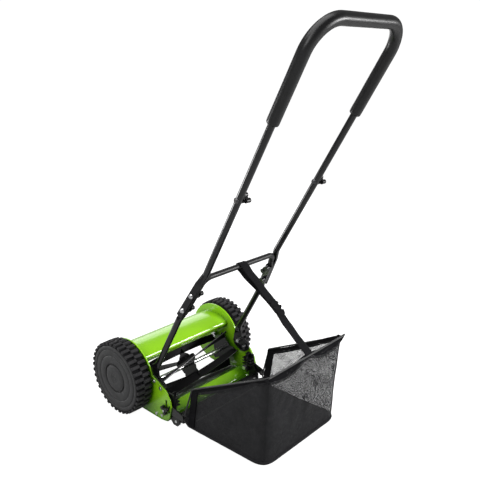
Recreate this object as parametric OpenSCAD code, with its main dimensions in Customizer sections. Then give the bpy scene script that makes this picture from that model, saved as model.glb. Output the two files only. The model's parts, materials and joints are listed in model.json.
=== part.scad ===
// Push reel mower with a rear grass bag.
// +Z is up, +Y is forward, +X is the operator's right; the origin is the centre of the box's base.

/* [Wheels] */
// Diameter over the tread lugs
wheel_d = 204; // [196:1:212]
// Width of one wheel
wheel_w = 46; // [42:1:48]
// Distance over both wheels' outer faces
overall_w = 435; // [434:1:446]
// Lugs in one row of the tread
lug_count = 36; // [24:4:44]

/* [Frame] */
// Inner face of a side plate, from the middle
plate_x = 160.5; // [160:0.5:161]
// Thickness of a side plate
plate_t = 2.5; // [2:0.5:3]
// Radius of the plate's round part, about the axle
plate_r = 96; // [95:1:100]
// Radius of the curve of the top cover
cover_r = 114; // [113:1:115]

/* [Reel] */
// Radius swept by the reel's blades
reel_r = 58; // [56:0.5:58]
// Blades on the reel
blade_count = 5; // [4:1:6]
// Turn of a blade along its length
blade_twist = 60; // [40:5:70]
// Length of the blades
reel_len = 300; // [280:5:300]
// Teeth of the ring gear in each wheel
ring_teeth = 70; // [70:1:70]
// Teeth of each pinion
pinion_teeth = 13; // [13:1:13]
// Module of the gears
gear_module = 2; // [2:0.1:2]

/* [Handle] */
// Lean of the handle from upright
lean = 30; // [28:0.5:32]
// Length along the slope from the foot to the middle of the top bar
handle_len = 1022; // [1000:1:1040]
// Outer diameter of the handle's tubes
tube_d = 16; // [16:1:16]
// Wall of the handle's tubes
tube_t = 1.2; // [1:0.1:1.4]
// Outer diameter of the foam grip
grip_d = 27; // [24:1:30]
// Radius of the handle's top corners
corner_r = 65; // [55:1:75]

/* [Roller] */
// Diameter of the rear roller
roller_d = 30; // [28:1:30]
// Length of the rear roller
roller_len = 272; // [250:1:272]

/* [Bag] */
// Half width of the bag at its front
bag_front_x = 147; // [145:1:147]
// Half width of the bag at its rear
bag_rear_x = 136; // [130:1:140]
// Thickness of the bag's cloth as a solid
cloth_t = 2; // [1.5:0.5:2]

/* [Hidden] */

fine = 96;
medium = 48;
run_gap = 0.05;                       // radial clearance of a running fit
axle_h = wheel_d / 2;
wheel_in = overall_w / 2 - wheel_w;   // wheel's inner face, from the middle
top_y = -75 - handle_len * sin(lean); // middle of the top bar, from the axle
axle_y = -(wheel_d / 2 + top_y - grip_d / 2) / 2;
foot_y = -75;                         // foot of the handle's plane, from the axle
foot_z = 100;

// Reel and gears
centre_gap = (ring_teeth - pinion_teeth) * gear_module / 2;
reel_y = -50;
reel_z = axle_h - sqrt(centre_gap * centre_gap - reel_y * reel_y);
mesh_angle = atan2(reel_z - axle_h, reel_y);
shaft_r = 6;
gear_w = 11;
gear_x = wheel_in + 4;
spider_x = 142;

// Height adjustment and roller
roller_y = -172;
roller_z = roller_d / 2;
knob_y = -147;
knob_z = 46;
drop = 8;                             // travel of the roller below rest
rise = 24;                            // travel of the roller above rest
bracket_x = 136.5;
bracket_t = 18.5;
bracket_web = 4;

// Joint between the handle's tubes, in the handle's plane: [x, s]
lap_low = [152, 256];
lap_high = [131, 375];
lap_angle = atan2(lap_high[0] - lap_low[0], lap_high[1] - lap_low[1]);
flat_t = 5.6;
flat_w = 17;
bolt_s = [278, 326];
brace_s = 379;
joint_s = 618;
mid_low = [127.5, 392];
tube_lean = 2;                        // outward lean of the upper tubes, in their plane
grip_s = 807;

// Bag: corners [y, z] and the hinge at its front
bag_hinge = [-200, 40];
front_low = [-213, 17];
front_high = [-232, 131];
rear_low = [-462, 13];
rear_high = [-478, 254];
wire_r = 2.2;

green = "limegreen";
black = "#202022";
grey = "#3a3a3c";
steel = "silver";

// Places a part that is drawn about the axle's ground point
module place() translate([0, axle_y, 0]) children();
// Draws on the right, or mirrored on the left
module on_side(side) mirror([side < 0 ? 1 : 0, 0, 0]) children();
// Extrudes a [y, z] outline along +X from x0
module yz(x0, length) translate([x0, 0, 0]) rotate([90, 0, 90]) linear_extrude(length) children();
// A rod along +X at [y, z]
module rod(x0, length, at, radius, sides = medium)
    translate([x0, at[0], at[1]]) rotate([0, 90, 0]) cylinder(h = length, r = radius, $fn = sides);
// The handle's plane: x across, s up the slope
module slope() translate([0, foot_y, foot_z]) rotate([lean, 0, 0]) children();

function unit(v) = v / norm(v);
function left_of(v) = [-v[1], v[0]];
// Moves a corner to its left by d along the mitre
function mitre(a, b, c, d) = let (n = left_of(unit(b - a)), m = left_of(unit(c - b)))
    b + d * (n + m) / (1 + n * m);
// An outline moved inwards, for points that run anticlockwise
function inset(p, d) = [for (i = [0:len(p) - 1])
    mitre(p[(i + len(p) - 1) % len(p)], p[i], p[(i + 1) % len(p)], d)];
// An open line of points moved to its left
function beside(p, d) = [for (i = [0:len(p) - 1])
    i == 0 ? p[0] + d * left_of(unit(p[1] - p[0]))
    : i == len(p) - 1 ? p[i] + d * left_of(unit(p[i] - p[i - 1]))
    : mitre(p[i - 1], p[i], p[i + 1], d)];
function reversed(p) = [for (i = [len(p) - 1:-1:0]) p[i]];
// Bent sheet metal: a line of points with a thickness
module sheet(p, t) polygon(concat(p, reversed(beside(p, t))));
function on_circle(at, r, a) = at + r * [cos(a), sin(a)];

// ---- side plates ----
tail = [[-10, 100], [-40, 140], [-95, 124], [-148, 98], [-163, 76], [-167, 56], [-158, 22], [-146, 10],
    [-126, 7], [-30, 8]];
leg_bolt_at = [[-103, 112], [-128, 100]];
bar_screw_at = [[-106, 17], [-128, 20]];
cover_centre = [2, 60];
cover_screw_angle = [52, 100];
hook_rivet_at = [[-159, 57], [-158, 40]];
module plate_outline(d) {
    translate([0, axle_h]) circle(plate_r - d, $fn = fine);
    polygon(d > 0 ? inset(tail, d) : tail);
}
module side_plate(side) on_side(side) color(green) difference() {
    union() {
        yz(plate_x, plate_t) plate_outline(0);
        yz(plate_x + plate_t, 1.5) difference() {
            plate_outline(0);
            plate_outline(1.2);
        }
        yz(plate_x + plate_t, 2.5) difference() {
            translate([0, axle_h]) circle(46, $fn = fine);
            translate([0, axle_h]) circle(42, $fn = fine);
            translate([reel_y, reel_z]) circle(17, $fn = medium);
        }
    }
    rod(plate_x - 1, 9, [0, axle_h], shaft_r);
    rod(plate_x - 1, 9, [reel_y, reel_z], 11);
    for (p = leg_bolt_at) rod(plate_x - 1, 9, p, 3.1);
    for (p = bar_screw_at) rod(plate_x - 1, 9, p, 2.6);
    for (p = hook_rivet_at) rod(plate_x - 1, 9, p, 2.5);
    for (a = cover_screw_angle) rod(plate_x - 1, 9, on_circle(cover_centre, cover_r - 12, a), 2.1);
    yz(plate_x - 1, 9) {
        translate([knob_y - 3.4, knob_z - drop]) square([6.8, drop + rise]);
        translate([knob_y, knob_z - drop]) circle(3.4, $fn = medium);
        translate([knob_y, knob_z + rise]) circle(3.4, $fn = medium);
    }
}
module side_plate_left() place() side_plate(-1);
module side_plate_right() place() side_plate(1);

// ---- top cover ----
cover_t = 1.6;
cover_from = 43;
cover_to = 117;
cover_arc = [for (i = [0:24]) on_circle(cover_centre, cover_r, cover_from + i * (cover_to - cover_from) / 24)];
cover_line = concat([cover_arc[0] + [3, -9]], cover_arc, [cover_arc[24] + [1, -5], cover_arc[24] + [8.5, -21]]);
module top_cover() place() color(green) difference() {
    union() {
        yz(-plate_x, 2 * plate_x) sheet(cover_line, cover_t);
        for (side = [-1, 1]) on_side(side) yz(plate_x - 1.6, 1.6) intersection() {
            difference() {
                translate(cover_centre) circle(cover_r - 1, $fn = fine);
                translate(cover_centre) circle(cover_r - 20, $fn = fine);
            }
            polygon(concat([cover_centre], [for (a = [44:12:116]) on_circle(cover_centre, 2 * cover_r, a)]));
        }
    }
    for (side = [-1, 1]) on_side(side) for (a = cover_screw_angle)
        rod(plate_x - 5, 9, on_circle(cover_centre, cover_r - 12, a), 2.1);
}
module cover_screws() place() color(steel) for (side = [-1, 1]) on_side(side) for (a = cover_screw_angle)
    let (p = on_circle(cover_centre, cover_r - 12, a)) {
        rod(plate_x - 5, 10, p, 2);
        rod(plate_x - 5, 3.4, p, 4, 6);
    }

// ---- bed bar and knife ----
knife_slope = [-0.963, 0.27];
knife_tip = [-57, 15.6];
knife_len = 36;
knife_t = 3;
bar_line = [[-66, 14.8], [-99, 24], [-121, 38], [-146, 14], [-146, 7]];
knife_screw_x = [-120, -60, 0, 60, 120];
knife_screw_at = [-80, 22.1];
module knife_axis() translate([0, knife_screw_at[0], knife_screw_at[1]]) rotate([-asin(knife_slope[1]), 0, 0]) children();
module bed_bar() place() color(green) difference() {
    union() {
        yz(-plate_x, 2 * plate_x) sheet(bar_line, 2.5);
        for (side = [-1, 1]) on_side(side) yz(plate_x - 2.5, 2.5)
            polygon([[-98, 10], [-98, 25], [-121, 38], [-140, 20], [-140, 10]]);
    }
    for (side = [-1, 1]) on_side(side) for (p = bar_screw_at) rod(plate_x - 4, 9, p, 2.6);
    for (x = knife_screw_x) knife_axis() translate([x, 0, -20]) cylinder(h = 30, r = 2.6, $fn = medium);
}
module bed_knife() place() color(steel) difference() {
    yz(-reel_len / 2 - 2, reel_len + 4) polygon([knife_tip, knife_tip + knife_len * knife_slope,
        knife_tip + knife_len * knife_slope + [-0.8, -knife_t], knife_tip + [-3, -knife_t + 0.5]]);
    for (x = knife_screw_x) knife_axis() translate([x, 0, -20]) cylinder(h = 30, r = 2.6, $fn = medium);
}
module knife_screws() place() color(steel) {
    for (x = knife_screw_x) knife_axis() translate([x, 0, -11.5]) {
        cylinder(h = 11.5, r = 2.5, $fn = medium);
        cylinder(h = 5, r = 4.5, $fn = 6);
    }
    for (side = [-1, 1]) on_side(side) for (p = bar_screw_at) {
        rod(plate_x - 6, 11, p, 2.5);
        rod(plate_x + plate_t, 3, p, 4.5, 6);
    }
}

// ---- wheel axles and reel bearings ----
module axle(side) on_side(side) color(steel) {
    rod(plate_x, 48.5, [0, axle_h], shaft_r);
    rod(plate_x - 7, 7, [0, axle_h], 10, 6);
    rod(plate_x + plate_t, 5, [0, axle_h], 9);
    rod(plate_x + 43.5, 6, [0, axle_h], 9.5, 6);
}
module axle_left() place() axle(-1);
module axle_right() place() axle(1);
module reel_bearing(side) on_side(side) color(grey) difference() {
    union() {
        rod(plate_x - 2, 9, [reel_y, reel_z], 11);
        rod(plate_x - 4, 4, [reel_y, reel_z], 14);
    }
    rod(plate_x - 6, 16, [reel_y, reel_z], shaft_r + run_gap);
}
module reel_bearing_left() place() reel_bearing(-1);
module reel_bearing_right() place() reel_bearing(1);

// ---- handle ----
// A tube in the handle's plane between two [x, s] points
module plane_tube(a, b, radius, bore = 0) let (d = b - a)
    translate([a[0], 0, a[1]]) rotate([0, atan2(d[0], d[1]), 0]) difference() {
        cylinder(h = norm(d), r = radius, $fn = medium);
        if (bore > 0) translate([0, 0, -1]) cylinder(h = norm(d) + 2, r = bore, $fn = medium);
    }
// A bend in the handle's plane about an [x, s] centre
module plane_bend(at, bend_r, from, turn, radius, bore = 0) translate([at[0], 0, at[1]]) rotate([90, 0, 0])
    rotate_extrude(angle = turn, start = from, $fn = fine) translate([bend_r, 0]) difference() {
        circle(radius, $fn = medium);
        if (bore > 0) circle(bore, $fn = medium);
    }
// A weld that closes the seam between a tube and a bend, at an [x, s] point
seam = 0.5;
weld_t = 0.1;
module weld(at, turn, radius, bore) translate([at[0], 0, at[1]]) rotate([0, turn, 0]) translate([0, 0, -1])
    difference() {
        cylinder(h = 2, r = radius + weld_t, $fn = medium);
        translate([0, 0, -1]) cylinder(h = 4, r = bore - weld_t, $fn = medium);
    }
// A frame that runs up the tubes' joint from its low end
module lap() translate([lap_low[0], 0, lap_low[1]]) rotate([0, lap_angle, 0]) children();
// A flattened tube end in the joint: layer -1 inside, 0 middle, 1 outside
module lap_flat(layer, from, to, slim = 0) lap()
    translate([layer * (flat_t + 0.1) - flat_t / 2 + slim, -flat_w / 2 + slim, from])
        cube([flat_t - 2 * slim, flat_w - 2 * slim, to - from]);
module lap_holes() lap() for (s = bolt_s) translate([-20, 0, s - lap_low[1]]) rotate([0, 90, 0])
    cylinder(h = 40, r = 3.1, $fn = medium);
leg_foot = [[-93, 156], [-84, 110], [-88, 98], [-114, 83], [-132, 86], [-145, 98], [-145, 106],
    [-138, 115], [-117, 129], [-115, 153]];
module lower_leg(side) on_side(side) color(black) difference() {
    union() {
        yz(plate_x - 5, 5) polygon(leg_foot);
        slope() plane_tube([152, 76], [152, 248], tube_d / 2, tube_d / 2 - tube_t);
        hull() {
            slope() translate([152, 0, 75]) cylinder(h = 1.5, r = tube_d / 2 + weld_t, $fn = 32);
            translate([plate_x - 5 + weld_t, -113, 143]) cube([5 - 2 * weld_t, 20, 9]);
        }
        hull() {
            slope() translate([152, 0, 247]) cylinder(h = 1.5, r = tube_d / 2 + weld_t, $fn = 32);
            slope() lap_flat(-1, 14, 16, weld_t);
        }
        slope() lap_flat(-1, 13, 78);
    }
    for (p = leg_bolt_at) rod(plate_x - 8, 12, p, 3.1);
    slope() lap_holes();
}
module lower_leg_left() place() lower_leg(-1);
module lower_leg_right() place() lower_leg(1);
module leg_bolts() place() color(steel) for (side = [-1, 1]) on_side(side) for (p = leg_bolt_at) {
    rod(plate_x - 5, 12, p, 3);
    rod(plate_x - 9, 4, p, 6, 6);
    rod(plate_x + plate_t, 3.5, p, 5.5, 6);
}
brace_r = 7;
brace_bend = 24;
brace_corner = [104, brace_s - brace_bend];
module cross_brace() place() slope() color(black) difference() {
    union() {
        plane_tube([seam - brace_corner[0], brace_s], [brace_corner[0] - seam, brace_s], brace_r, brace_r - tube_t);
        for (side = [-1, 1]) on_side(side) {
            plane_bend(brace_corner, brace_bend, 0, 90, brace_r, brace_r - tube_t);
            weld([brace_corner[0], brace_s], 90, brace_r, brace_r - tube_t);
            hull() {
                translate([brace_corner[0] + brace_bend, 0, brace_corner[1] - 1])
                    cylinder(h = 1.5, r = brace_r + weld_t, $fn = 32);
                lap_flat(0, 78, 80, weld_t);
            }
            lap_flat(0, 16, 81);
        }
    }
    for (side = [-1, 1]) on_side(side) lap_holes();
}
module mid_tube(side) on_side(side) slope() color(black) difference() {
    union() {
        plane_tube(mid_low, mid_top, tube_d / 2, tube_d / 2 - tube_t);
        plane_tube(up_tube(586 - 1), swage_top, swage_r, swage_r - tube_t);
        translate([mid_top[0], 0, mid_top[1]]) rotate([0, tube_lean, 0]) translate([0, 0, -3]) difference() {
            cylinder(h = 3.5, r = swage_r + 0.7, $fn = medium);
            translate([0, 0, -1]) cylinder(h = 6, r = swage_r - tube_t - 0.2, $fn = medium);
        }
        hull() {
            translate([mid_low[0], 0, mid_low[1]]) rotate([0, tube_lean, 0])
                cylinder(h = 1.5, r = tube_d / 2 + weld_t, $fn = 32);
            lap_flat(1, 106, 108, weld_t);
        }
        lap_flat(1, 4, 109);
    }
    lap_holes();
    upper_hole();
}
function up_tube(s) = [mid_low[0] + (s - mid_low[1]) * tan(tube_lean), s];
mid_top = up_tube(586);
swage_top = up_tube(644);
swage_r = tube_d / 2 - tube_t - 0.1;  // reduced end that slides into the upper handle
module upper_hole() translate([up_tube(joint_s)[0] - 20, 0, joint_s]) rotate([0, 90, 0])
    cylinder(h = 40, r = 3.1, $fn = medium);
module mid_tube_left() place() mid_tube(-1);
module mid_tube_right() place() mid_tube(1);

leg_s = handle_len - corner_r * (1 + sin(tube_lean));
corner_at = up_tube(leg_s) + corner_r * [-cos(tube_lean), sin(tube_lean)];
module handle_path(from, radius, bore) {
    for (side = [-1, 1]) on_side(side) {
        plane_tube(up_tube(from), up_tube(leg_s - seam), radius, bore);
        plane_bend(corner_at, corner_r, -tube_lean, 90 + tube_lean, radius, bore);
        weld(up_tube(leg_s), tube_lean, radius, bore);
        weld([corner_at[0], handle_len], 90, radius, bore);
    }
    plane_tube([seam - corner_at[0], handle_len], [corner_at[0] - seam, handle_len], radius, bore);
}
module upper_handle() place() slope() color(black) difference() {
    handle_path(587, tube_d / 2, tube_d / 2 - tube_t);
    for (side = [-1, 1]) on_side(side) upper_hole();
}
module foam_grip() place() slope() color(grey) handle_path(grip_s, grip_d / 2, tube_d / 2 + 0.3);

// ---- handle fasteners ----
wing_gap = 0.4;
knob_gap = 0.7;                       // clears the lean of the upper tube
wing_base = -1.5 * flat_t - 0.2 - wing_gap;   // where a wing nut's face starts, across the joint
module at_brace_bolt(side, i) place() slope() on_side(side) lap()
    translate([0, 0, bolt_s[i] - lap_low[1]]) rotate([0, 90, 0]) children();
module brace_bolts() color(steel) for (side = [-1, 1]) for (i = [0, 1]) at_brace_bolt(side, i) {
    translate([0, 0, wing_base - 9]) cylinder(h = 10 - wing_base + 1.5 * flat_t, r = 3, $fn = medium);
    translate([0, 0, 1.5 * flat_t + 0.15]) cylinder(h = 3.2, r1 = 6.5, r2 = 4, $fn = medium);
}
// A nut with two round lobes, whose face is at z = 0
module wing_nut(bore) color(black) difference() {
    union() {
        cylinder(h = 11, r1 = 8, r2 = 7, $fn = medium);
        for (a = [0, 180]) rotate([0, 0, a]) translate([10, 0, 3]) cylinder(h = 10, r = 6, $fn = medium);
    }
    translate([0, 0, -1]) cylinder(h = 20, r = bore, $fn = medium);
}
module brace_wing(side, i) at_brace_bolt(side, i) translate([0, 0, wing_base]) mirror([0, 0, 1])
    rotate([0, 0, 25]) wing_nut(3 + run_gap);
module brace_wing_left_low() brace_wing(-1, 0);
module brace_wing_left_high() brace_wing(-1, 1);
module brace_wing_right_low() brace_wing(1, 0);
module brace_wing_right_high() brace_wing(1, 1);
// Both upper bolts point to the operator's right, so the knobs sit on the +X side of each tube
module at_upper_bolt(side) place() slope() translate([side * up_tube(joint_s)[0], 0, joint_s])
    rotate([0, 90, 0]) children();
module upper_bolts() color(steel) for (side = [-1, 1]) at_upper_bolt(side) {
    translate([0, 0, -tube_d / 2 - 1]) cylinder(h = tube_d + 10, r = 3, $fn = medium);
    translate([0, 0, -tube_d / 2 - 3.5]) cylinder(h = 3.2, r1 = 4, r2 = 7, $fn = medium);
}
module upper_knob(side) at_upper_bolt(side) translate([0, 0, tube_d / 2 + knob_gap]) color(black) difference() {
    union() {
        cylinder(h = 14, r = 7, $fn = medium);
        for (a = [0:120:240]) rotate([0, 0, a + 20]) translate([8, 0, 4]) cylinder(h = 13, r = 5.5, $fn = medium);
    }
    translate([0, 0, -1]) cylinder(h = 12, r = 3 + run_gap, $fn = medium);
}
module upper_knob_left() upper_knob(-1);
module upper_knob_right() upper_knob(1);

// ---- wheels ----
// A ring between two radii, from x0 along +X, about the axle
module axle_ring(x0, length, outer, inner) difference() {
    rod(x0, length, [0, axle_h], outer, fine);
    rod(x0 - 1, length + 2, [0, axle_h], inner, fine);
}
rim_r = 92;
face_x = overall_w / 2 - 1.5;         // outer face of the wheel
web_x = face_x - 9;
hub_in = web_x - 24;                  // inner face of the hub
cap_from = face_x - 4;
module wheel(side) on_side(side) color(grey) difference() {
    union() {
        axle_ring(wheel_in, face_x - wheel_in, rim_r, rim_r - 4);
        axle_ring(web_x, 9, rim_r - 3.9, 20);
        axle_ring(hub_in, 28, 20.5, 10);
        for (a = [0:45:315]) translate([0, 0, axle_h]) rotate([a + 22.5, 0, 0])
            translate([web_x - 10, 20, -1.5]) cube([10, rim_r - 22.5, 3]);
    }
    axle_ring(face_x - 1.4, 3, 83, 79);
    axle_ring(face_x - 1.4, 3, 64, 61);
    rod(cap_from, 6, [0, axle_h], 41, fine);
}
module wheel_left() place() wheel(-1);
module wheel_right() place() wheel(1);
// Outline of a tread row: lugs that stand on a band
function lug_outline(first, tip_r) = [for (k = [0:lug_count - 1])
    for (c = [[-0.34, 0], [-0.29, 1], [0.29, 1], [0.34, 0]])
    let (a = first + (k + c[0]) * 360 / lug_count, r = tip_r - (1 - c[1]) * 6,
        flat = c[1] == 1 ? 1 / cos(0.29 * 360 / lug_count) : 1)
    r * flat * [cos(a), sin(a)]];
module tread_row(x0, length, first, tip_r) yz(x0, length) translate([0, axle_h]) difference() {
    polygon(lug_outline(first, tip_r));
    circle(rim_r, $fn = fine);
}
module tyre(side) on_side(side) color(black) {
    tread_row(wheel_in, wheel_w / 2, 0, wheel_d / 2);
    tread_row(wheel_in + wheel_w / 2, face_x - wheel_in - wheel_w / 2, 180 / lug_count, wheel_d / 2 - 0.1);
}
module tyre_left() place() tyre(-1);
module tyre_right() place() tyre(1);
// Straight-sided teeth: flank slope follows a 20 degree pressure angle
tooth_part = 0.36;
function tooth_half(pitch_r, r, out) =
    (tooth_part * PI * gear_module / 2 - out * (r - pitch_r) * tan(20)) / r * 180 / PI;
function teeth(count, root, tip, out, first) = let (pitch_r = count * gear_module / 2)
    [for (k = [0:count - 1]) let (a = first + k * 360 / count, h0 = tooth_half(pitch_r, root, out),
        h1 = tooth_half(pitch_r, tip, out))
    for (c = [[-h0, root], [-h1, tip], [h1, tip], [h0, root]]) c[1] * [cos(a + c[0]), sin(a + c[0])]];
module ring_gear(side) on_side(side) color(black) {
    yz(gear_x, gear_w) translate([0, axle_h]) difference() {
        circle(rim_r - 4.1, $fn = fine);
        polygon(teeth(ring_teeth, 72.6, 68.3, -1, mesh_angle + 180 / ring_teeth));
    }
    for (a = [0:60:300]) translate([0, 0, axle_h]) rotate([a, 0, 0])
        rod(gear_x + gear_w, web_x - gear_x - gear_w, [82, 0], 4);
}
module ring_gear_left() place() ring_gear(-1);
module ring_gear_right() place() ring_gear(1);
module wheel_bush(side) on_side(side) color(steel) axle_ring(hub_in, 20.4, 9.95, shaft_r + run_gap);
module wheel_bush_left() place() wheel_bush(-1);
module wheel_bush_right() place() wheel_bush(1);
module hub_cap(side) on_side(side) color(grey) translate([0, 0, axle_h]) rotate([0, 90, 0])
    rotate_extrude($fn = fine) polygon([[0, cap_from], [0, overall_w / 2], [9, overall_w / 2],
        [10, overall_w / 2 - 1], [28, overall_w / 2 - 1], [38, face_x], [38, cap_from]]);
module hub_cap_left() place() hub_cap(-1);
module hub_cap_right() place() hub_cap(1);

// ---- reel ----
clip_x = gear_x + gear_w + 0.3;
module reel_shaft() place() color(steel) rod(-clip_x - 3, 2 * clip_x + 6, [reel_y, reel_z], shaft_r);
blade_in = 37;
blade_first = 153;                    // angle of the first blade at its left end
function blade_angle(x) = blade_first - (x + reel_len / 2) * blade_twist / reel_len;
module reel_spiders() place() color(black) for (x = [-spider_x, 0, spider_x]) difference() {
    yz(x - 1.5, 3) translate([reel_y, reel_z]) {
        circle(36, $fn = medium);
        for (k = [0:blade_count - 1]) rotate(blade_angle(x) + k * 360 / blade_count)
            polygon([[20, -16], [44, -9], [52, -5], [52, 4], [36, 14]]);
    }
    rod(x - 3, 6, [reel_y, reel_z], shaft_r);
}
module reel_blades() place() color(grey) translate([-reel_len / 2, reel_y, reel_z]) rotate([90, 0, 90])
    for (k = [0:blade_count - 1])
        linear_extrude(reel_len, twist = blade_twist, slices = 16)
            rotate(blade_first + k * 360 / blade_count)
                polygon([[blade_in, 0.2], [reel_r - 0.2, 5.5], [reel_r - 0.6, 8], [blade_in - 1, 2.8]]);
module pinion_gear(bore) difference() {
    yz(gear_x + 0.2, gear_w - 0.4) translate([reel_y, reel_z])
        polygon(teeth(pinion_teeth, 10.7, 14.7, 1, mesh_angle));
    rod(gear_x - 1, gear_w + 2, [reel_y, reel_z], bore);
}
module pinion_left() place() on_side(-1) color(steel) pinion_gear(shaft_r);
module pinion_right() place() on_side(1) color(steel) pinion_gear(shaft_r + run_gap);
module shaft_clips() place() color(steel) for (side = [-1, 1]) on_side(side) difference() {
    rod(clip_x, 1.5, [reel_y, reel_z], 9);
    rod(clip_x - 1, 4, [reel_y, reel_z], shaft_r);
}

// ---- rear roller and height adjustment ----
rear_groove = [[-166.4, 92], [-171, 92], [-176, 49], [-171.2, 49]];
bracket_outline = [[-138, 38], [-138, 84], [-144, 90], [-168, 90], [-173, 46], [-186, 32], [-187, 12], [-178, 3],
    [-163, 3], [-152, 14], [-152, 36]];
module height_bracket(side) on_side(side) color(black) difference() {
    union() {
        yz(bracket_x + bracket_t - bracket_web, bracket_web) polygon(bracket_outline);
        yz(bracket_x, bracket_t - bracket_web) difference() {
            polygon(bracket_outline);
            polygon(inset(reversed(bracket_outline), 2.5));
        }
        yz(bracket_x, bracket_t - bracket_web) intersection() {
            polygon(bracket_outline);
            union() {
                for (z = [57:9:75]) translate([-190, z]) square([60, 2.5]);
                translate([-156, 34]) square([2.5, 60]);
                translate([knob_y, knob_z]) circle(8, $fn = medium);
                translate([roller_y, roller_z]) circle(10, $fn = medium);
            }
        }
    }
    rod(bracket_x - 1, bracket_t + 2, [knob_y, knob_z], 3.1);
    rod(bracket_x - 1, bracket_t + 2, [roller_y, roller_z], 4);
    for (i = [0:3]) yz(bracket_x + 2.5 + 4.2 * i, 1.8) polygon(rear_groove);
}
module height_bracket_left() place() height_bracket(-1);
module height_bracket_right() place() height_bracket(1);
module roller_shaft() place() color(steel)
    rod(-bracket_x - bracket_t, 2 * (bracket_x + bracket_t), [roller_y, roller_z], 4);
module roller() place() color(black) difference() {
    union() {
        rod(-roller_len / 2, roller_len, [roller_y, roller_z], roller_d / 2 - 2);
        for (i = [0:7]) rod(-roller_len / 2 + i * roller_len / 8 + 2, roller_len / 8 - 4,
            [roller_y, roller_z], roller_d / 2);
    }
    rod(-roller_len / 2 - 1, roller_len + 2, [roller_y, roller_z], 4 + run_gap);
}
module height_bolts() place() color(steel) for (side = [-1, 1]) on_side(side) {
    rod(bracket_x, plate_x - bracket_x + 15, [knob_y, knob_z], 3);
    rod(bracket_x - 4, 4, [knob_y, knob_z], 6, 6);
}
module height_knob(side) on_side(side) color(black) difference() {
    union() {
        rod(plate_x + plate_t + wing_gap, 9, [knob_y, knob_z], 7);
        for (a = [30:120:270]) translate([0, knob_y, knob_z]) rotate([a, 0, 0])
            rod(plate_x + plate_t + wing_gap + 2, 8, [9.5, 0], 5);
    }
    rod(plate_x, 20, [knob_y, knob_z], 3 + run_gap);
}
module height_knob_left() place() height_knob(-1);
module height_knob_right() place() height_knob(1);

// ---- bag ----
hook_x = plate_x - 3.5;
module bag_hook(side) on_side(side) color(black) {
    yz(hook_x, 3.5) polygon([[-153, 63], [-206, 47], [-208, 40], [-205, 33], [-153, 32]]);
    rod(hook_x - 7, 7, bag_hinge, 3);
    rod(hook_x - 8.5, 1.5, bag_hinge, 5);
    for (p = hook_rivet_at) rod(plate_x, plate_t + 1.5, p, 2.5);
}
module bag_hook_left() place() bag_hook(-1);
module bag_hook_right() place() bag_hook(1);
eye_x = hook_x - 3.5;
// A wire between two [x, y, z] points, with a round start
module wire(a, b) let (d = b - a, flat = norm([d[0], d[1]])) translate(a)
    rotate([0, atan2(flat, d[2]), atan2(d[1], d[0])]) {
        cylinder(h = norm(d), r = wire_r, $fn = 24);
        sphere(wire_r + weld_t, $fn = 24);
    }
function at_side(x, p) = [x, p[0], p[1]];
frame_front_x = bag_front_x + 1;
frame_rear_x = bag_rear_x + 6;
module bag_frame() place() color(steel) {
    for (side = [-1, 1]) on_side(side) {
        difference() {
            rod(eye_x - wire_r, 2 * wire_r, bag_hinge, 6.5);
            rod(eye_x - 5, 10, bag_hinge, 3 + run_gap);
        }
        wire([eye_x, bag_hinge[0] - 5, bag_hinge[1] + 4], at_side(frame_front_x, front_high));
        wire(at_side(frame_front_x, front_high), at_side(frame_rear_x, rear_high));
        wire([eye_x, bag_hinge[0] - 3, bag_hinge[1] - 5], at_side(frame_front_x, front_low));
        translate(at_side(frame_rear_x, rear_high)) sphere(wire_r + weld_t, $fn = 24);
        translate(at_side(frame_front_x, front_low)) sphere(wire_r + weld_t, $fn = 24);
    }
    wire(at_side(-frame_front_x, front_low), at_side(frame_front_x, front_low));
    wire(at_side(-frame_rear_x, rear_high), at_side(frame_rear_x, rear_high));
}
// A thin panel through corner points
module panel(corners) hull() for (c = corners) translate(c) cube(cloth_t, center = true);
module bag_side(side) on_side(side) color(black) panel([
    at_side(bag_front_x - 3, front_low + [-5, 3]), at_side(bag_front_x - 3, front_high + [-5, -6]),
    at_side(bag_rear_x + 1, rear_high + [5, -8]), at_side(bag_rear_x - 1, rear_low + [5, 3])]);
module bag_side_left() place() bag_side(-1);
module bag_side_right() place() bag_side(1);
module bag_floor() place() color(black) panel([for (side = [-1, 1])
    for (c = [[bag_front_x - 3, front_low + [-5, 0]], [bag_rear_x - 1, rear_low]]) at_side(side * c[0], c[1])]);
module bag_rear() place() color(black) panel([for (side = [-1, 1])
    for (c = [[bag_rear_x - 1, rear_low + [0, 3]], [bag_rear_x + 1, rear_high + [0, -6]]]) at_side(side * c[0], c[1])]);
strap_w = 25;
strap_top = [foot_y - brace_s * sin(lean), foot_z + brace_s * cos(lean)];
strap_dir = unit(rear_high - strap_top);
module strap_end(at) translate([0, at[0], at[1]]) cube([strap_w, 2, 2], center = true);
module bag_strap() place() color(black) hull() {
    strap_end(strap_top + 11 * strap_dir);
    strap_end(rear_high - 6 * strap_dir);
}

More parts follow.
